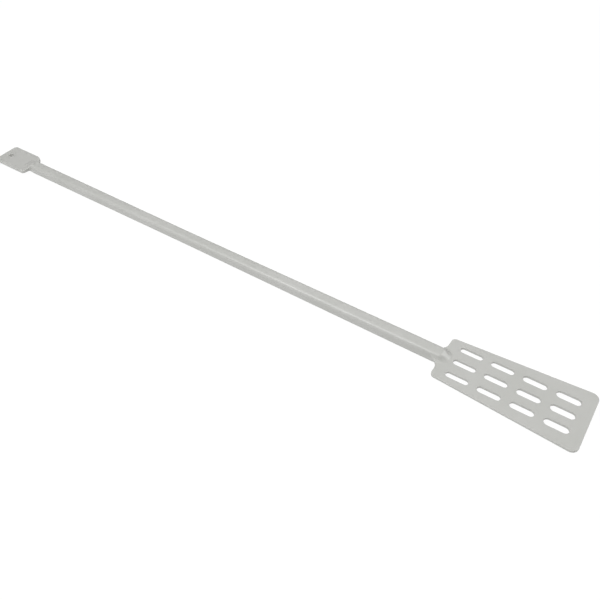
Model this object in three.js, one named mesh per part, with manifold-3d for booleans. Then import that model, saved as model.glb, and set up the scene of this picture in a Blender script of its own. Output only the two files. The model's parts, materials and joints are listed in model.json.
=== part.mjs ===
// Long hand stirring paddle, moulded in one piece: a flat hang tab, a slim rounded-square shaft
// and a flat, widening blade with rows of slots. Millimetres, +Z up, the blade lying flat.
// The moulding is held as five touching regions, cut square across the shaft's own axis.

import * as THREE from "three";
import { mergeVertices } from "three/addons/utils/BufferGeometryUtils.js";
import Module from "manifold-3d";

// Whole paddle. Positions along the paddle are measured from the end of the hang tab.
const LENGTH = 711;

// Shaft: square section with rounded corners, a little slimmer where the hand holds it.
const SHAFT_SIZE_AT_TAB = 12;
const SHAFT_SIZE_AT_WAIST = 11.25;
const SHAFT_SIZE_AT_BLADE = 12.5;
const SHAFT_CORNER = 0.25;
const GRIP_START = 55;
const SHAFT_START = 294;
const NECK_START = 565;

// Hang tab: its inner corners differ, a tight one on the -Y side and a long sweep on the +Y side.
const TAB_WIDTH = 31.5;
const TAB_THICKNESS = 3.75;
const TAB_OUTER_CORNER = 4.25;
const TAB_TIGHT_CORNER = 4;
const TAB_TIGHT_CORNER_POSITION = 50;
const TAB_SWEPT_CORNER = 11.5;
const TAB_SWEPT_CORNER_POSITION = 48.7;
const TAB_ROOT_POSITION = 51.4;
const TAB_ROOT_FILLET = 1.5;
const HANG_HOLE_DIAMETER = 6;
const HANG_HOLE_POSITION = 11;
const TAB_RAMP_LENGTH = 13.5;

// Blade
const BLADE_START = 585;
const BLADE_THICKNESS = 2.5;
const SHOULDER_WIDTH = 47.2;
const TIP_WIDTH = 63.4;
const SHOULDER_CORNER = 4;
const TIP_CORNER = 6.1;
const NECK_FILLET = 9;
const NOSE_START = 584;
const NOSE_END = 594;

// Slots: a grid of round-ended slots along the paddle, wider from column to column towards the tip
const SLOT_COLUMNS = 4;
const SLOT_ROWS = 3;
const SLOT_LENGTH = 20.4;
const FIRST_SLOT_WIDTH = 5.6;
const LAST_SLOT_WIDTH = 7;
const SLOT_PITCH = 28;
const ROW_PITCH = 15.3;
const FIRST_SLOT = 606;

// Fineness of the facets
const CORNER_SEGMENTS = 5;
const RAMP_STEPS = 8;
const HOLE_SEGMENTS = 32;
const NOSE_WIDTH = 0.35;
const NOSE_CLEARANCE = 0.1;

const PLASTIC = { color: 0xc3c4bf, roughness: 0.5, metalness: 0 };

const wasm = await Module();
wasm.setup();

// Turns a closed three.js geometry into a solid that can be joined and cut.
function solid(geometry) {
  const bare = geometry.clone();
  bare.deleteAttribute("normal");
  bare.deleteAttribute("uv");
  const merged = mergeVertices(bare, 1e-4);
  const vertProperties = new Float32Array(merged.attributes.position.array);
  const triVerts = new Uint32Array(merged.index.array);
  return new wasm.Manifold(new wasm.Mesh({ numProp: 3, vertProperties, triVerts }));
}

// Turns a solid back into a geometry, with vertices near a cutting plane set exactly on it.
function geometryOf(manifold, planes) {
  const mesh = manifold.getMesh();
  const positions = new Float32Array(mesh.vertProperties);
  for (let i = 0; i < positions.length; i += 3) {
    for (const plane of planes) {
      if (Math.abs(positions[i] - plane) < 1e-3) positions[i] = plane;
    }
  }
  const geometry = new THREE.BufferGeometry();
  geometry.setAttribute("position", new THREE.BufferAttribute(positions, 3));
  geometry.setIndex(new THREE.BufferAttribute(new Uint32Array(mesh.triVerts), 1));
  geometry.computeVertexNormals();
  return geometry;
}

// A closed outline through the given corners, each rounded with its own radius.
function roundedOutline(corners) {
  const shape = new THREE.Shape();
  const count = corners.length;
  corners.forEach(([x, y, radius], i) => {
    const here = new THREE.Vector2(x, y);
    const [beforeX, beforeY] = corners[(i + count - 1) % count];
    const [afterX, afterY] = corners[(i + 1) % count];
    const toBefore = new THREE.Vector2(beforeX, beforeY).sub(here).normalize();
    const toAfter = new THREE.Vector2(afterX, afterY).sub(here).normalize();
    const half = Math.acos(toBefore.dot(toAfter)) / 2;
    const reach = radius / Math.tan(half);
    const middle = toBefore.clone().add(toAfter).normalize();
    const centre = middle.multiplyScalar(radius / Math.sin(half)).add(here);
    const from = toBefore.multiplyScalar(reach).add(here).sub(centre).angle();
    const to = toAfter.multiplyScalar(reach).add(here).sub(centre).angle();
    const turn = Math.atan2(Math.sin(to - from), Math.cos(to - from));
    shape.absarc(centre.x, centre.y, radius, from, from + turn, turn < 0);
  });
  return shape;
}

function interpolate(x, x0, y0, x1, y1) {
  return y0 + (y1 - y0) * THREE.MathUtils.clamp((x - x0) / (x1 - x0), 0, 1);
}

// Side of the shaft's square section at a distance from the tab's end.
function shaftSize(x) {
  if (x < SHAFT_START) {
    return interpolate(x, GRIP_START, SHAFT_SIZE_AT_TAB, SHAFT_START, SHAFT_SIZE_AT_WAIST);
  }
  return interpolate(x, SHAFT_START, SHAFT_SIZE_AT_WAIST, NECK_START, SHAFT_SIZE_AT_BLADE);
}

// A bar along X with the rounded-square section, whose width and height follow the station.
function bar(from, to, steps, widthAt, heightAt) {
  const radius = SHAFT_CORNER;
  const half = 0.5;
  const section = roundedOutline([
    [-half, -half, radius],
    [half, -half, radius],
    [half, half, radius],
    [-half, half, radius],
  ]);
  const geometry = new THREE.ExtrudeGeometry(section, {
    depth: to - from,
    steps,
    bevelEnabled: false,
    curveSegments: CORNER_SEGMENTS,
  });
  geometry.rotateX(Math.PI / 2);
  geometry.rotateZ(Math.PI / 2);
  geometry.translate(from, 0, 0);
  const position = geometry.attributes.position;
  for (let i = 0; i < position.count; i++) {
    const x = position.getX(i);
    position.setY(i, position.getY(i) * widthAt(x));
    position.setZ(i, position.getZ(i) * heightAt(x));
  }
  return geometry;
}

// The shaft running out onto a flat plate: its height ramps down from the full section to just
// under the plate's faces, and its plan narrows to a rounded nose.
function runOut(full, nose, plateThickness) {
  const along = (x) => THREE.MathUtils.clamp((x - full) / (nose - full), 0, 1);
  const size = shaftSize(full);
  const heightAt = (x) => size + (plateThickness - NOSE_CLEARANCE - size) * along(x);
  const widthAt = (x) => {
    const roundness = Math.sqrt(1 - Math.max(0, 2 * along(x) - 1) ** 2);
    return size * (NOSE_WIDTH + (1 - NOSE_WIDTH) * roundness);
  };
  const from = Math.min(full, nose);
  const to = Math.max(full, nose);
  return bar(from, to, RAMP_STEPS, widthAt, heightAt);
}

function plate(shape, thickness, segments) {
  const geometry = new THREE.ExtrudeGeometry(shape, {
    depth: thickness,
    bevelEnabled: false,
    curveSegments: segments,
  });
  geometry.translate(0, 0, -thickness / 2);
  return geometry;
}

// The stretch of the moulding between two square cuts.
function region(moulding, from, to) {
  const margin = 50;
  const box = new THREE.BoxGeometry(to - from, TIP_WIDTH + margin, margin);
  box.translate((from + to) / 2, 0, 0);
  return geometryOf(moulding.intersect(solid(box)), [from, to]);
}

function hangTab() {
  const half = TAB_WIDTH / 2;
  const root = SHAFT_SIZE_AT_TAB / 2;
  const square = 0.01;
  const outline = roundedOutline([
    [0, -half, TAB_OUTER_CORNER],
    [TAB_TIGHT_CORNER_POSITION, -half, TAB_TIGHT_CORNER],
    [TAB_ROOT_POSITION, -root, TAB_ROOT_FILLET],
    [GRIP_START, -root, square],
    [GRIP_START, root, square],
    [TAB_ROOT_POSITION, root, TAB_ROOT_FILLET],
    [TAB_SWEPT_CORNER_POSITION, half, TAB_SWEPT_CORNER],
    [0, half, TAB_OUTER_CORNER],
  ]);
  const hole = new THREE.Path();
  hole.absarc(HANG_HOLE_POSITION, 0, HANG_HOLE_DIAMETER / 2, 0, 2 * Math.PI, true);
  outline.holes.push(hole);
  const flat = solid(plate(outline, TAB_THICKNESS, HOLE_SEGMENTS / 2));
  const ramp = solid(runOut(GRIP_START, GRIP_START - TAB_RAMP_LENGTH, TAB_THICKNESS));
  return geometryOf(flat.add(ramp), [GRIP_START]);
}

function shaftStretch(from, to) {
  return bar(from, to, 1, shaftSize, shaftSize);
}

function slot(x, y, width) {
  const radius = width / 2;
  const reach = SLOT_LENGTH / 2 - radius;
  const path = new THREE.Path();
  path.absarc(x + reach, y, radius, Math.PI / 2, -Math.PI / 2, true);
  path.absarc(x - reach, y, radius, -Math.PI / 2, -3 * Math.PI / 2, true);
  return path;
}

// The plate's outline takes in the concave fillets that flare from the shaft to the shoulders.
function bladePlate() {
  const root = SHAFT_SIZE_AT_BLADE / 2;
  const shoulder = SHOULDER_WIDTH / 2;
  const tip = TIP_WIDTH / 2;
  const start = BLADE_START - NECK_FILLET - 1;
  const square = 0.01;
  const outline = roundedOutline([
    [start, -root, square],
    [BLADE_START, -root, NECK_FILLET],
    [BLADE_START, -shoulder, SHOULDER_CORNER],
    [LENGTH, -tip, TIP_CORNER],
    [LENGTH, tip, TIP_CORNER],
    [BLADE_START, shoulder, SHOULDER_CORNER],
    [BLADE_START, root, NECK_FILLET],
    [start, root, square],
  ]);
  for (let column = 0; column < SLOT_COLUMNS; column++) {
    const x = FIRST_SLOT + column * SLOT_PITCH;
    const width = interpolate(column, 0, FIRST_SLOT_WIDTH, SLOT_COLUMNS - 1, LAST_SLOT_WIDTH);
    for (let row = 0; row < SLOT_ROWS; row++) {
      const y = (row - (SLOT_ROWS - 1) / 2) * ROW_PITCH;
      outline.holes.push(slot(x, y, width));
    }
  }
  return plate(outline, BLADE_THICKNESS, 8);
}

function bladeEnd() {
  const straight = solid(bar(NECK_START, NOSE_START, 1, shaftSize, shaftSize));
  const ramp = solid(runOut(NOSE_START, NOSE_END, BLADE_THICKNESS));
  return solid(bladePlate()).add(straight).add(ramp);
}

const bladeMoulding = bladeEnd();
const regions = {
  hang_tab: hangTab(),
  grip: shaftStretch(GRIP_START, SHAFT_START),
  shaft: shaftStretch(SHAFT_START, NECK_START),
  neck: region(bladeMoulding, NECK_START, BLADE_START),
  blade: region(bladeMoulding, BLADE_START, LENGTH),
};

const group = new THREE.Group();
group.position.set(-LENGTH / 2, 0, SHAFT_SIZE_AT_BLADE / 2);
for (const [name, geometry] of Object.entries(regions)) {
  const mesh = new THREE.Mesh(geometry, new THREE.MeshStandardMaterial(PLASTIC));
  mesh.name = name;
  group.add(mesh);
}

export default group;
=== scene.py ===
"""Looks of a long, one-piece moulded stirring paddle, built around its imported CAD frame.

The paddle is one seamless mesh. Its upper half is made as a sheet from the mid-plane up: flat plates
with rounded rims at both ends, and rings lofted along the shaft between them. The lower half is the
same sheet turned over, joined along the parting line that runs round the rim at mid-height.
"""

import json
import math

import bmesh
import bpy
from mathutils import Matrix, Vector
from mathutils.geometry import delaunay_2d_cdt


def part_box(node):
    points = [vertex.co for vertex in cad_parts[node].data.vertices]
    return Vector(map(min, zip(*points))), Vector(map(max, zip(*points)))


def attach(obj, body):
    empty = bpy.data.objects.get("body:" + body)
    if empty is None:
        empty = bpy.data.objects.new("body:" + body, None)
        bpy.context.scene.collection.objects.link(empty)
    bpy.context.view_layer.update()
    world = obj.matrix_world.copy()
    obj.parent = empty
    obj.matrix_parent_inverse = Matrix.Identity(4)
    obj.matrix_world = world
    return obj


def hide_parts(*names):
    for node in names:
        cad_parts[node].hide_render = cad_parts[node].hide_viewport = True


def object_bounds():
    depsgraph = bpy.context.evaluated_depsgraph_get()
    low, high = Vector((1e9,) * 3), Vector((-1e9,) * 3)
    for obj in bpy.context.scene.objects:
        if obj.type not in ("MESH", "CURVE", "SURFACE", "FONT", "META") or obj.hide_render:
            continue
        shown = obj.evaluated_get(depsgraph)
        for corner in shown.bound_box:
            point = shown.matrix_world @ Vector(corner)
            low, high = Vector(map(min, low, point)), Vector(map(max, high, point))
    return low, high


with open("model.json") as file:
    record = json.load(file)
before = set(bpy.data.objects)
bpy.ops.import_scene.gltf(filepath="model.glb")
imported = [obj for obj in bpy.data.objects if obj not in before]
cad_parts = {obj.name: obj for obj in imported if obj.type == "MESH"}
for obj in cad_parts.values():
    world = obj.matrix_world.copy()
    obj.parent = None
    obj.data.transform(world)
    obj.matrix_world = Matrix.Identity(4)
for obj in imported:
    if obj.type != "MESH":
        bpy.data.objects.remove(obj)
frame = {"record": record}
cad_low, cad_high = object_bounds()

MM = 0.001
NODES = ("hang_tab", "grip", "shaft", "neck", "blade")
BOX = {name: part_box(name) for name in NODES}

# Places along the paddle, from the frame
TAB_END = BOX["hang_tab"][0].x
GRIP_START = BOX["grip"][0].x
WAIST = BOX["shaft"][0].x
NECK_START = BOX["neck"][0].x
SHOULDER = BOX["blade"][0].x
TIP = BOX["blade"][1].x
MID_HEIGHT = (cad_low.z + cad_high.z) / 2

# Shaft
SHAFT_HALF_AT_TAB = (BOX["grip"][1].z - BOX["grip"][0].z) / 2
SHAFT_HALF_AT_WAIST = 11.25 / 2 * MM
SHAFT_HALF_AT_BLADE = (cad_high.z - cad_low.z) / 2
CORNER_AT_TAB = 3 * MM
CORNER_AT_BLADE = 3.1 * MM
CORNER_SHARE = 0.6  # the most that a corner takes of the height there is for it
WIDEST_CORNER = 0.9  # and of the section's half width
WALL_DRAFT = 0.12 * MM

# Where the shaft stands on a plate: the fillet along its foot and round its nose, and the width of
# the nose's end as a share of the shaft's
FOOT_FILLET = 2 * MM
NOSE_FOOT = 1 * MM
NOSE_WIDTH = 0.2

# A plate grows out of the shaft's wall. Its rim has its own shape, and the corner above is at its
# lower height, once the plate stands out this far.
RIM_EMERGED = 0.1 * MM
CORNER_LOWERED = 0.7 * MM

# The flat beside the foot fillet has points of its own once it is this wide.
FLAT_CLEAR = 2 * MM

# Hang tab
TAB_HALF_WIDTH = (BOX["hang_tab"][1].y - BOX["hang_tab"][0].y) / 2
TAB_HALF_THICKNESS = 3.75 / 2 * MM
TAB_EDGE = 0.6 * MM
TAB_OUTER_CORNER = 4.25 * MM
TAB_SWEPT_CORNER = 11.5 * MM
TAB_SWEPT_CORNER_X = TAB_END + 48.7 * MM
TAB_TIGHT_CORNER = 4 * MM
TAB_TIGHT_CORNER_X = TAB_END + 50 * MM
TAB_ROOT_FILLET = 1.5 * MM
TAB_ROOT_X = TAB_END + 51.4 * MM
TAB_ROOT_STRAIGHT = 2 * MM
TAB_FLAT_END = TAB_END + 38 * MM
TAB_RAMP = 13.5 * MM
TAB_NOSE_ROUNDING = 0.5
TAB_HILL_START = 0.35
HANG_HOLE_X = TAB_END + 11 * MM
HANG_HOLE_RADIUS = 3 * MM
HANG_HOLE_EDGE = 0.35 * MM

# Blade
BLADE_HALF_THICKNESS = 2.5 / 2 * MM
BLADE_EDGE = 0.5 * MM
SHOULDER_HALF = 47.2 / 2 * MM
TIP_HALF = 63.4 / 2 * MM
SHOULDER_CORNER = 4 * MM
TIP_CORNER = 6.1 * MM
NECK_FILLET = 9 * MM
NOSE_START = SHOULDER - 1 * MM
NOSE_MARGIN = 0.4 * MM
NECK_MARGIN = 0.1 * MM
BLADE_RAMP = 10 * MM
BLADE_NOSE_ROUNDING = 0.5
BLADE_HILL_END = 0.7

# Slots: their centres come from the record's openings, and they are wider towards the tip
SLOT_HALF_LENGTH = 20.4 / 2 * MM
FIRST_SLOT_HALF_WIDTH = 5.6 / 2 * MM
LAST_SLOT_HALF_WIDTH = 7 / 2 * MM
SLOT_EDGE = 0.3 * MM
OPENINGS = frame["record"]["physics"]["openings"]
SLOT_CENTRES = [
    tuple((low + high) / 2 for low, high in zip(*opening["box_m"]))[:2] for opening in OPENINGS
]
FIRST_SLOT_X = min(x for x, y in SLOT_CENTRES)
LAST_SLOT_X = max(x for x, y in SLOT_CENTRES)

# Parting line: a low ridge round the rim at mid-height
RIDGE_OUT = 0.04 * MM
RIDGE_HALF = 0.18 * MM

# Fineness of the mesh: points round each part of a section
RIM_STEPS = 4
FLAT_STEPS = 5
FILLET_STEPS = 4
CORNER_STEPS = 6
TOP_STEPS = 3

# Fineness of the mesh: points along the outlines
ARC_STEP = math.radians(9)
RIM_SPACING = 3 * MM
END_SPACING = 1 * MM
SLOT_ARC_STEPS = 10
SLOT_SIDE_STEPS = 6
HOLE_STEPS = 44

# Fineness of the mesh: rings along the shaft, and the lattice of points inside the flat faces
TAB_RINGS = 38
BLADE_RINGS = 52
RING_LEAN = 0.25
SHAFT_SPACING = 9 * MM
CLOSE_SPACING = 1.5 * MM
CLOSE_RINGS_AT_TAB = 3
CLOSE_RINGS_AT_BLADE = 9
LATTICE = 4 * MM
LATTICE_STAGGER = 0.25
LATTICE_CLEARANCE = 0.45


def mix(a, b, t):
    return a + (b - a) * t


def clamp(value, low=0.0, high=1.0):
    return max(low, min(high, value))


def smooth(t):
    t = clamp(t)
    return t * t * (3 - 2 * t)


def softened(t, ease=0.2):
    """0 to 1, straight in the middle, with rounded ends."""
    t = clamp(t)
    if t < ease:
        return t * t / (2 * ease) / (1 - ease)
    if t > 1 - ease:
        return 1 - (1 - t) ** 2 / (2 * ease) / (1 - ease)
    return (t - ease / 2) / (1 - ease)


# ---------------------------------------------------------------- outlines


def rounded_path(corners, spacing=RIM_SPACING):
    """Points and outward normals along an open path of (x, y, radius) corners, outside on its left."""
    found = []

    def place(point, heading):
        normal = Vector((-heading.y, heading.x))
        if found and (point - found[-1][0]).length > spacing * 1.2:
            start = found[-1][0]
            count = math.ceil((point - start).length / spacing)
            for i in range(1, count):
                found.append((start.lerp(point, i / count), normal.copy()))
        found.append((point, normal))

    points = [Vector(corner[:2]) for corner in corners]
    place(points[0], (points[1] - points[0]).normalized())
    for i in range(1, len(points) - 1):
        arriving = (points[i] - points[i - 1]).normalized()
        leaving = (points[i + 1] - points[i]).normalized()
        turn = math.atan2(arriving.cross(leaving), arriving.dot(leaving))
        radius = corners[i][2]
        reach = radius * math.tan(abs(turn) / 2)
        side = math.copysign(1, turn)
        start = points[i] - arriving * reach
        centre = start + Vector((-arriving.y, arriving.x)) * radius * side
        steps = max(2, round(abs(turn) / ARC_STEP))
        for k in range(steps + 1):
            spin = Matrix.Rotation(turn * k / steps, 2)
            place(centre + spin @ (start - centre), spin @ arriving)
    place(points[-1], (points[-1] - points[-2]).normalized())
    return found


def evenly(path, count):
    """The same path as a fixed number of evenly spaced points."""
    marks = [0.0]
    for (a, _), (b, _) in zip(path, path[1:]):
        marks.append(marks[-1] + (b - a).length)
    found = []
    i = 0
    for k in range(count):
        goal = marks[-1] * k / (count - 1)
        while i < len(path) - 2 and marks[i + 1] < goal:
            i += 1
        t = (goal - marks[i]) / max(marks[i + 1] - marks[i], 1e-9)
        (a, normal_a), (b, normal_b) = path[i], path[i + 1]
        found.append((a.lerp(b, t), normal_a.lerp(normal_b, t).normalized()))
    return found


def slot_rim(x, y):
    """Closed rim of one round-ended slot, with normals that point into the slot."""
    towards_tip = (x - FIRST_SLOT_X) / (LAST_SLOT_X - FIRST_SLOT_X)
    half_width = mix(FIRST_SLOT_HALF_WIDTH, LAST_SLOT_HALF_WIDTH, towards_tip)
    reach = SLOT_HALF_LENGTH - half_width
    found = []
    for end in (1, -1):
        centre = Vector((x + end * reach, y))
        for k in range(SLOT_ARC_STEPS + 1):
            angle = math.radians(-90) + math.pi * k / SLOT_ARC_STEPS
            out = Vector((math.cos(angle), math.sin(angle))) * end
            found.append((centre + out * half_width, -out))
        last = found[-1][0]
        for k in range(1, SLOT_SIDE_STEPS):
            step = Vector((-end * 2 * reach * k / SLOT_SIDE_STEPS, 0))
            found.append((last + step, -out))
    return found


def hole_rim(x, y, radius):
    """Closed rim of a round hole, with normals that point into the hole."""
    found = []
    for k in range(HOLE_STEPS):
        angle = 2 * math.pi * k / HOLE_STEPS
        out = Vector((math.cos(angle), math.sin(angle)))
        found.append((Vector((x, y)) + out * radius, -out))
    return found


# ---------------------------------------------------------------- the moulding


class Sheet:
    """The upper half of the moulding, from the mid-plane up, as vertices and faces."""

    def __init__(self):
        self.points = []
        self.faces = []

    def add(self, x, y, z):
        self.points.append((x, y, z))
        return len(self.points) - 1

    def bridge(self, first, second):
        """Quads between two rows of vertices of equal length."""
        for i in range(len(first) - 1):
            self.faces.append((first[i], first[i + 1], second[i + 1], second[i]))

    def column(self, rim, half_thickness, edge):
        """Vertices up the rim at one place: parting ridge, wall and rounded edge."""
        point, normal = rim
        return [
            self.add(*(point + normal * out), z)
            for out, z in rim_profile(half_thickness - edge, edge)
        ]

    def band(self, columns, closed):
        """Quads between neighbouring columns, which may run round in a closed loop."""
        for i in range(len(columns) - (0 if closed else 1)):
            self.bridge(columns[i], columns[(i + 1) % len(columns)])

    def fill(self, outer, holes, height):
        """Fills the flat face inside the outer loop and outside the holes."""
        loops = [outer, *holes]
        boundary = [index for loop in loops for index in loop]
        flat = [Vector(self.points[index][:2]) for index in boundary]
        edges = []
        for loop in loops:
            start = len(edges)
            edges += [(start + i, start + (i + 1) % len(loop)) for i in range(len(loop))]
        outlines = [[Vector(self.points[index][:2]) for index in loop] for loop in loops]
        inner = lattice_points(outlines)
        indices = boundary + [self.add(point.x, point.y, height) for point in inner]
        inside_constraints = 1
        found = delaunay_2d_cdt(flat + inner, edges, [], inside_constraints, 1e-9)
        for face in found[2]:
            corners = [found[0][i] for i in face]
            middle = sum(corners, Vector((0, 0))) / 3
            if not inside(middle, outlines[1:]):
                self.faces.append(tuple(indices[found[3][i][0]] for i in face))

    def to_mesh(self, name):
        """A closed mesh: this sheet and its mirror image, sharing the mid-plane's vertices."""
        mesh = bmesh.new()
        upper = [mesh.verts.new((x, y, z + MID_HEIGHT)) for x, y, z in self.points]
        lower = [
            vertex if z == 0 else mesh.verts.new((x, y, MID_HEIGHT - z))
            for vertex, (x, y, z) in zip(upper, self.points)
        ]
        for face in self.faces:
            mesh.faces.new([upper[i] for i in face])
            mesh.faces.new([lower[i] for i in reversed(face)])
        bmesh.ops.recalc_face_normals(mesh, faces=mesh.faces)
        for face in mesh.faces:
            face.smooth = True
        data = bpy.data.meshes.new(name)
        mesh.to_mesh(data)
        mesh.free()
        return data


def rim_profile(wall, edge, turn=math.pi / 2):
    """(out, height) pairs up a rim: from the parting line up its wall and round its edge."""
    pairs = [(RIDGE_OUT, 0.0), (0.0, RIDGE_HALF), (0.0, wall)]
    for k in range(1, RIM_STEPS + 1):
        angle = turn * k / RIM_STEPS
        pairs.append((-edge * (1 - math.cos(angle)), wall + edge * math.sin(angle)))
    return pairs


def inside(point, outlines):
    """True inside an odd number of the closed outlines."""
    crossings = 0
    for outline in outlines:
        for i, a in enumerate(outline):
            b = outline[i - 1]
            if (a.y > point.y) != (b.y > point.y):
                if point.x < (b.x - a.x) * (point.y - a.y) / (b.y - a.y) + a.x:
                    crossings += 1
    return crossings % 2 == 1


def lattice_points(outlines):
    """Evenly spaced points inside the outlines and clear of them, for well-shaped triangles."""
    rim = [point for outline in outlines for point in outline]
    low = Vector((min(p.x for p in rim), min(p.y for p in rim)))
    high = Vector((max(p.x for p in rim), max(p.y for p in rim)))
    found = []
    rows = math.ceil((high.y - low.y) / LATTICE)
    columns = math.ceil((high.x - low.x) / LATTICE)
    for row in range(1, rows):
        for column in range(1, columns):
            shift = LATTICE_STAGGER if row % 2 else -LATTICE_STAGGER
            point = Vector((low.x + (column + shift) * LATTICE, mix(low.y, high.y, row / rows)))
            clear = min((point - p).length for p in rim) > LATTICE * LATTICE_CLEARANCE
            if clear and inside(point, outlines):
                found.append(point)
    return found


def shaft_half(x):
    """Half the side of the shaft's square section."""
    if x < WAIST:
        along = clamp((x - GRIP_START) / (WAIST - GRIP_START))
        return mix(SHAFT_HALF_AT_TAB, SHAFT_HALF_AT_WAIST, along)
    along = clamp((x - WAIST) / (NECK_START - WAIST))
    return mix(SHAFT_HALF_AT_WAIST, SHAFT_HALF_AT_BLADE, along)


def shaft_form(x):
    """(half width, half height, corner radius, hill) of the shaft's section at x.

    At both ends the shaft runs down onto the plate as a nose, and its section turns from a
    rounded square (hill 0) into a smooth hill (hill 1). The nose's rounding and its hill start or
    end at a share of the way down its ramp.
    """
    size = shaft_half(x)
    half_way = (TAB_END + TIP) / 2
    if x < half_way:
        along = clamp((GRIP_START - x) / TAB_RAMP)
        plate, rounding = TAB_HALF_THICKNESS, TAB_NOSE_ROUNDING
        hill = smooth((along - TAB_HILL_START) / (1 - TAB_HILL_START))
    else:
        along = clamp((x - NOSE_START) / BLADE_RAMP)
        plate, rounding = BLADE_HALF_THICKNESS, BLADE_NOSE_ROUNDING
        hill = smooth(along / BLADE_HILL_END)
    tapered = clamp((along - rounding) / (1 - rounding))
    half_width = size * mix(NOSE_WIDTH, 1, math.sqrt(1 - tapered ** 2))
    half_height = mix(size, plate, softened(along))
    corner = mix(CORNER_AT_TAB, CORNER_AT_BLADE, (x - TAB_END) / (TIP - TAB_END))
    return half_width, half_height, corner, hill


def foot_runs(flat, arc):
    """How far each point lies from the rim's edge, along the plate's flat and up the foot fillet.

    A wide flat has points of its own, and so has the fillet. Beside a narrow flat, or none, the
    points share the whole way evenly.
    """
    own = [flat * k / (FLAT_STEPS + 1) for k in range(1, FLAT_STEPS + 1)]
    own += [flat + arc * k / FILLET_STEPS for k in range(FILLET_STEPS + 1)]
    apart = smooth(flat / FLAT_CLEAR)
    return [mix((flat + arc) * k / len(own), run, apart) for k, run in enumerate(own, 1)]


def crown(centre_x, half_width, half_height, corner_width, corner_height):
    """Points from the top of the shaft's wall, round its corner and in to the centre line."""
    found = []
    for k in range(CORNER_STEPS + 1):
        angle = math.pi / 2 * k / CORNER_STEPS
        y = half_width - corner_width * (1 - math.cos(angle))
        found.append((centre_x, y, half_height - corner_height * (1 - math.sin(angle))))
    inner = half_width - corner_width
    for k in range(1, TOP_STEPS + 1):
        found.append((centre_x, inner * (1 - k / TOP_STEPS), half_height))
    return found


def ring_side(rim, centre_x, half_thickness, edge):
    """Points of half a ring, from the rim's mid-plane on the +Y side up to the centre line.

    Where the rim leaves the shaft's wall, the rim's rounded edge and the foot fillet turn by the
    same part of a right angle, so the plate grows out of the wall without a crease.
    """
    point, normal = rim
    half_width, half_height, corner, hill = shaft_form(centre_x)
    rise = half_height - half_thickness
    spare = max(0.0, point.y - half_width)
    foot_width = mix(FOOT_FILLET, NOSE_FOOT, hill)
    draft = WALL_DRAFT * min(1.0, spare / (edge + foot_width))
    turn = math.acos(clamp(1 - (spare - draft) / (edge + foot_width - draft)))
    corner_width = min(corner, WIDEST_CORNER * half_width)
    room = mix(half_height, rise, smooth(spare / CORNER_LOWERED))
    corner_height = min(corner, CORNER_SHARE * room)
    wall_top = half_height - corner_height
    fillet_height = min(FOOT_FILLET, wall_top - half_thickness)

    # The rim, then the plate's flat and the foot fillet
    rim_wall = half_thickness + fillet_height - (edge + fillet_height) * math.sin(turn)
    places = [(*(point + normal * out), z) for out, z in rim_profile(rim_wall, edge, turn)]
    rim_x = places[-1][0]
    flat = max(0.0, spare - edge - foot_width)
    arc = turn * (foot_width + fillet_height) / 2
    way = max(flat + arc, 1e-9)
    for run in foot_runs(flat, arc):
        inward = run / way
        x = mix(centre_x, rim_x, smooth(1 - inward))
        x -= normal.x * flat * inward * (1 - inward) ** 2
        angle = turn * clamp(1 - (run - flat) / max(arc, 1e-9))
        y = half_width + draft + (foot_width - draft) * (1 - math.cos(angle))
        y += max(0.0, flat - run)
        places.append((x, y, half_thickness + fillet_height * (1 - math.sin(angle))))

    # The shaft's wall and crown, which turn into the nose's hill together with the foot fillet
    places.append((centre_x, half_width, (places[-1][2] + wall_top) / 2))
    on_wall = len(places)
    places += crown(centre_x, half_width - draft, half_height, corner_width - draft, corner_height)
    foot = half_width + foot_width
    hill *= smooth(flat / FLAT_CLEAR)
    start = on_wall - 1 - (FILLET_STEPS + 1)
    last = len(places) - 1
    for i in range(start, last + 1):
        x, y, z = places[i]
        climb = (i - start) / (last - start)
        hill_z = half_thickness + rise * (1 - (1 - climb) ** 2)
        places[i] = (x, mix(y, foot * (1 - climb), hill), mix(z, hill_z, hill))

    # Where there is no plate, all the points up to the wall's top are spread evenly up the wall
    emerged = smooth(spare / RIM_EMERGED)
    for i in range(1, on_wall + 1):
        x, y, z = places[i]
        level = mix(RIDGE_HALF, wall_top, (i - 1) / (on_wall - 1))
        places[i] = (x, y, mix(level, z, emerged))
    return places


def add_ring(sheet, left_rim, right_rim, centre_x, half_thickness, edge):
    """One ring: the left rim is on the +Y side, and the right rim is given as its mirror image."""
    left = ring_side(left_rim, centre_x, half_thickness, edge)
    right = ring_side(right_rim, centre_x, half_thickness, edge)
    other = [(x, -y, z) for x, y, z in reversed(right[:-1])]
    return [sheet.add(*place) for place in left + other]


def centre_places(rims, start, end):
    """Where each ring crosses the centre line: rings lean forward where the rim runs across."""
    gains = [0.0]
    for (a, _), (b, _) in zip(rims, rims[1:]):
        gains.append(gains[-1] + abs(b.x - a.x) + RING_LEAN * abs(b.y - a.y))
    return [mix(start, end, gain / gains[-1]) for gain in gains]


def tab_inner_end(corner_x, corner):
    """One side of the tab's inner end: its corner, then the fillet onto the shaft."""
    path = rounded_path([
        (TAB_FLAT_END, TAB_HALF_WIDTH, 0),
        (corner_x, TAB_HALF_WIDTH, corner),
        (TAB_ROOT_X, SHAFT_HALF_AT_TAB, TAB_ROOT_FILLET),
        (TAB_ROOT_X + TAB_ROOT_STRAIGHT, SHAFT_HALF_AT_TAB, 0),
    ], END_SPACING)
    return evenly(path, TAB_RINGS)


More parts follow.
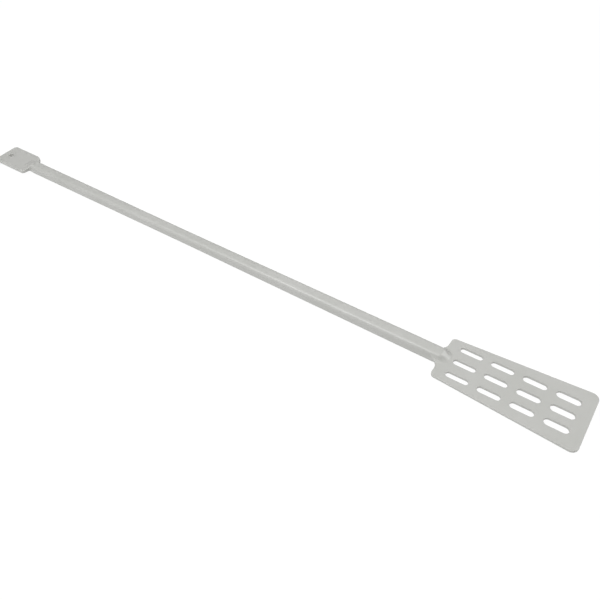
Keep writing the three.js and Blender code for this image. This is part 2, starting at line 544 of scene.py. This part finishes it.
def shaft_rings(sheet):
    """The lofted stretch between the two flat plates. Returns its first and its last ring."""
    swept = tab_inner_end(TAB_SWEPT_CORNER_X, TAB_SWEPT_CORNER)
    tight = tab_inner_end(TAB_TIGHT_CORNER_X, TAB_TIGHT_CORNER)
    blade_flat = NOSE_START + BLADE_RAMP + NOSE_MARGIN
    blade_start = SHOULDER - NECK_FILLET - NECK_MARGIN
    shoulder = rounded_path([
        (blade_start, SHAFT_HALF_AT_BLADE, 0),
        (SHOULDER, SHAFT_HALF_AT_BLADE, NECK_FILLET),
        (SHOULDER, SHOULDER_HALF, SHOULDER_CORNER),
        (blade_flat, blade_edge(blade_flat), 0),
    ], END_SPACING)
    shoulder = evenly(shoulder, BLADE_RINGS)
    rings = []
    places = centre_places(swept, TAB_FLAT_END, swept[-1][0].x)
    for left_rim, right_rim, x in zip(swept, tight, places):
        rings.append(add_ring(sheet, left_rim, right_rim, x, TAB_HALF_THICKNESS, TAB_EDGE))
    for x in shaft_places(swept[-1][0].x, blade_start):
        thickness = mix(TAB_HALF_THICKNESS, BLADE_HALF_THICKNESS, (x - TAB_END) / (TIP - TAB_END))
        rim = (Vector((x, shaft_form(x)[0])), Vector((0, 1)))
        rings.append(add_ring(sheet, rim, rim, x, thickness, BLADE_EDGE))
    for rim, x in zip(shoulder, centre_places(shoulder, blade_start, blade_flat)):
        rings.append(add_ring(sheet, rim, rim, x, BLADE_HALF_THICKNESS, BLADE_EDGE))
    for first, second in zip(rings, rings[1:]):
        sheet.bridge(first, second)
    return rings[0], rings[-1]


def shaft_places(start, end):
    """Ring places between two ends: close together near the ends, wider apart between them."""
    left = [start + CLOSE_SPACING * k for k in range(1, CLOSE_RINGS_AT_TAB + 1)]
    right = [end - CLOSE_SPACING * k for k in range(CLOSE_RINGS_AT_BLADE, 0, -1)]
    count = math.ceil((right[0] - left[-1]) / SHAFT_SPACING)
    middle = [mix(left[-1], right[0], k / count) for k in range(1, count)]
    return left + middle + right


def blade_edge(x):
    """Half the blade's width at x, before its corners are rounded."""
    return mix(SHOULDER_HALF, TIP_HALF, (x - SHOULDER) / (TIP - SHOULDER))


def end_plate(sheet, ring, rims, holes, half_thickness, edge, hole_edge):
    """A flat plate with rounded rims and holes, joined to a ring of the shaft's loft."""
    depth = RIM_STEPS + 3
    first = ring[:depth]
    last = ring[-depth:][::-1]
    columns = [first]
    columns += [sheet.column(rim, half_thickness, edge) for rim in rims[1:-1]]
    columns.append(last)
    sheet.band(columns, closed=False)
    outer = [column[-1] for column in columns] + ring[depth:-depth][::-1]
    loops = []
    for hole in holes:
        hole_columns = [sheet.column(rim, half_thickness, hole_edge) for rim in hole]
        sheet.band(hole_columns, closed=True)
        loops.append([column[-1] for column in hole_columns])
    sheet.fill(outer, loops, half_thickness)


def build_paddle():
    sheet = Sheet()
    tab_ring, blade_ring = shaft_rings(sheet)
    tab_x = sheet.points[tab_ring[0]][0]
    blade_x = sheet.points[blade_ring[0]][0]
    tab_rims = rounded_path([
        (tab_x, -TAB_HALF_WIDTH, 0),
        (TAB_END, -TAB_HALF_WIDTH, TAB_OUTER_CORNER),
        (TAB_END, TAB_HALF_WIDTH, TAB_OUTER_CORNER),
        (tab_x, TAB_HALF_WIDTH, 0),
    ])
    blade_rims = rounded_path([
        (blade_x, blade_edge(blade_x), 0),
        (TIP, TIP_HALF, TIP_CORNER),
        (TIP, -TIP_HALF, TIP_CORNER),
        (blade_x, -blade_edge(blade_x), 0),
    ])
    hang_hole = hole_rim(HANG_HOLE_X, 0, HANG_HOLE_RADIUS)
    slots = [slot_rim(x, y) for x, y in SLOT_CENTRES]
    turned = tab_ring[::-1]
    end_plate(sheet, turned, tab_rims, [hang_hole], TAB_HALF_THICKNESS, TAB_EDGE, HANG_HOLE_EDGE)
    end_plate(sheet, blade_ring, blade_rims, slots, BLADE_HALF_THICKNESS, BLADE_EDGE, SLOT_EDGE)
    paddle = bpy.data.objects.new("paddle", sheet.to_mesh("paddle"))
    bpy.context.scene.collection.objects.link(paddle)
    flat_faces = paddle.modifiers.new("flat_face_normals", "WEIGHTED_NORMAL")
    flat_faces.weight = 60
    return paddle


# ---------------------------------------------------------------- materials


class Nodes:
    """Shorthand for building one material's node tree."""

    def __init__(self, name):
        self.material = bpy.data.materials.new(name)
        self.material.use_nodes = True
        self.tree = self.material.node_tree
        self.tree.nodes.clear()
        self.output = self.tree.nodes.new("ShaderNodeOutputMaterial")

    def node(self, kind, **settings):
        made = self.tree.nodes.new(kind)
        for name, value in settings.items():
            setattr(made, name, value)
        return made

    def link(self, source, target):
        self.tree.links.new(source, target)

    def noise(self, vector, scale, detail, roughness=0.5):
        made = self.node("ShaderNodeTexNoise")
        made.inputs["Scale"].default_value = scale
        made.inputs["Detail"].default_value = detail
        made.inputs["Roughness"].default_value = roughness
        self.link(vector, made.inputs["Vector"])
        return made.outputs["Fac"]

    def stretched(self, vector, scale):
        made = self.node("ShaderNodeMapping")
        made.inputs["Scale"].default_value = scale
        self.link(vector, made.inputs["Vector"])
        return made.outputs["Vector"]

    def ramp(self, value, low, high, start, end):
        made = self.node("ShaderNodeMapRange")
        made.inputs["From Min"].default_value = low
        made.inputs["From Max"].default_value = high
        made.inputs["To Min"].default_value = start
        made.inputs["To Max"].default_value = end
        self.link(value, made.inputs["Value"])
        return made.outputs["Result"]

    def blend(self, value, first, second):
        made = self.node("ShaderNodeMix", data_type="RGBA")
        made.inputs["A"].default_value = (*first, 1)
        made.inputs["B"].default_value = (*second, 1)
        self.link(value, made.inputs["Factor"])
        return made.outputs["Result"]

    def bump(self, height, strength, distance, before=None):
        made = self.node("ShaderNodeBump")
        made.inputs["Strength"].default_value = strength
        made.inputs["Distance"].default_value = distance
        self.link(height, made.inputs["Height"])
        if before is not None:
            self.link(before, made.inputs["Normal"])
        return made.outputs["Normal"]


def moulded_plastic():
    """Satin off-white moulded plastic: faint clouding, spark-eroded fine grain and flow lines.

    Faces that look sideways or down get a darker colour than the upper ones: painted shade, standing
    in for the shade that falls on them.
    """
    nodes = Nodes("moulded_plastic")
    coordinates = nodes.node("ShaderNodeTexCoord")
    place = coordinates.outputs["Object"]
    shader = nodes.node("ShaderNodeBsdfPrincipled")
    clouds = nodes.noise(place, 22, 3)
    cloudy = nodes.ramp(clouds, 0.35, 0.65, 0, 1)
    colour = nodes.blend(cloudy, (0.455, 0.458, 0.435), (0.48, 0.48, 0.462))
    # Painted shade: the colour is darkened on faces that look sideways or down, to 0.84 of it where
    # they face down.
    facing_up = nodes.node("ShaderNodeSeparateXYZ")
    nodes.link(coordinates.outputs["Normal"], facing_up.inputs["Vector"])
    painted_side_shade = nodes.node("ShaderNodeVectorMath", operation="SCALE")
    nodes.link(colour, painted_side_shade.inputs[0])
    nodes.link(nodes.ramp(facing_up.outputs["Z"], -0.5, 0.35, 0.84, 1), painted_side_shade.inputs["Scale"])
    nodes.link(painted_side_shade.outputs["Vector"], shader.inputs["Base Color"])
    patches = nodes.noise(place, 70, 4)
    nodes.link(nodes.ramp(patches, 0.3, 0.7, 0.32, 0.4), shader.inputs["Roughness"])
    flow = nodes.noise(nodes.stretched(place, (12, 260, 260)), 1, 3)
    grain = nodes.noise(place, 1500, 2, 0.6)
    normal = nodes.bump(flow, 0.35, 0.12 * MM)
    normal = nodes.bump(grain, 0.25, 0.04 * MM, normal)
    nodes.link(normal, shader.inputs["Normal"])
    shader.inputs["IOR"].default_value = 1.49
    nodes.link(shader.outputs["BSDF"], nodes.output.inputs["Surface"])
    return nodes.material


def studio_floor():
    """Plain white sweep, slightly lit from within like a light table."""
    nodes = Nodes("studio_floor")
    shader = nodes.node("ShaderNodeBsdfPrincipled")
    shader.inputs["Base Color"].default_value = (0.07, 0.07, 0.07, 1)
    shader.inputs["Roughness"].default_value = 0.9
    shader.inputs["Specular IOR Level"].default_value = 0.1
    shader.inputs["Emission Color"].default_value = (1, 1, 1, 1)
    shader.inputs["Emission Strength"].default_value = 0.95
    nodes.link(shader.outputs["BSDF"], nodes.output.inputs["Surface"])
    return nodes.material


# ---------------------------------------------------------------- studio


def add_floor():
    """A wide floor at the height that the paddle lies on."""
    size = 4.0
    mesh = bpy.data.meshes.new("floor")
    corners = [(-size, -size), (size, -size), (size, size), (-size, size)]
    mesh.from_pydata([(x, y, cad_low.z) for x, y in corners], [], [(0, 1, 2, 3)])
    mesh.materials.append(studio_floor())
    floor = bpy.data.objects.new("floor", mesh)
    bpy.context.scene.collection.objects.link(floor)


def add_softbox(name, place, target, size, power):
    """A rectangular lamp of a given size in metres, turned towards its target."""
    light = bpy.data.lights.new(name, "AREA")
    light.shape = "RECTANGLE"
    light.size, light.size_y = size
    light.energy = power
    holder = bpy.data.objects.new(name, light)
    holder.location = place
    facing = Vector(target) - Vector(place)
    holder.rotation_euler = facing.to_track_quat("-Z", "Y").to_euler()
    bpy.context.scene.collection.objects.link(holder)


def add_lights():
    """Soft light from above, with three lamps whose reflections draw the edges.

    The key makes the long highlight on the shaft's near corner, the kicker the one on the slope of
    the nose, and the fill lifts the nose's near flank.
    """
    add_softbox("overhead", (0, 0.4, 1.6), (0, 0.4, 0), (2.2, 2.4), 15.9)
    add_softbox("key", (-0.34, -0.82, 1.16), (0.2, 0, 0), (0.9, 0.85), 14.7)
    add_softbox("kicker", (1.12, 0.86, 0.72), (0.23, 0, 0), (0.42, 0.36), 5.6)
    add_softbox("fill", (1.18, -0.73, 0.67), (0.23, 0, 0), (0.4, 0.3), 2.2)
    world = bpy.data.worlds.new("studio")
    world.use_nodes = True
    background = world.node_tree.nodes["Background"]
    background.inputs["Color"].default_value = (1, 1, 1, 1)
    background.inputs["Strength"].default_value = 0.15
    bpy.context.scene.world = world


def add_camera():
    """The camera looks down along the paddle from the blade's near side, slightly rolled."""
    azimuth = math.radians(35.6)
    elevation = math.radians(46.51)
    roll = math.radians(-2.14)
    distance = 596.4 * MM
    aim = Vector((89 * MM, -10.5 * MM, MID_HEIGHT))
    back = Vector((
        math.sin(azimuth) * math.cos(elevation),
        -math.cos(azimuth) * math.cos(elevation),
        math.sin(elevation),
    ))
    right = (-back).cross(Vector((0, 0, 1))).normalized()
    up = back.cross(right)
    turned_right = right * math.cos(roll) + up * math.sin(roll)
    turned_up = up * math.cos(roll) - right * math.sin(roll)
    data = bpy.data.cameras.new("camera")
    data.sensor_width = 36
    data.lens = 37.94
    data.clip_start = 0.01
    camera = bpy.data.objects.new("camera", data)
    axes = Matrix((turned_right, turned_up, back)).transposed().to_4x4()
    camera.matrix_world = Matrix.Translation(aim + back * distance) @ axes
    bpy.context.scene.collection.objects.link(camera)
    bpy.context.scene.camera = camera


add_camera()
add_lights()
add_floor()
paddle = build_paddle()
paddle.data.materials.append(moulded_plastic())
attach(paddle, "root")
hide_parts(*NODES)
bpy.context.scene.view_settings.view_transform = "Standard"
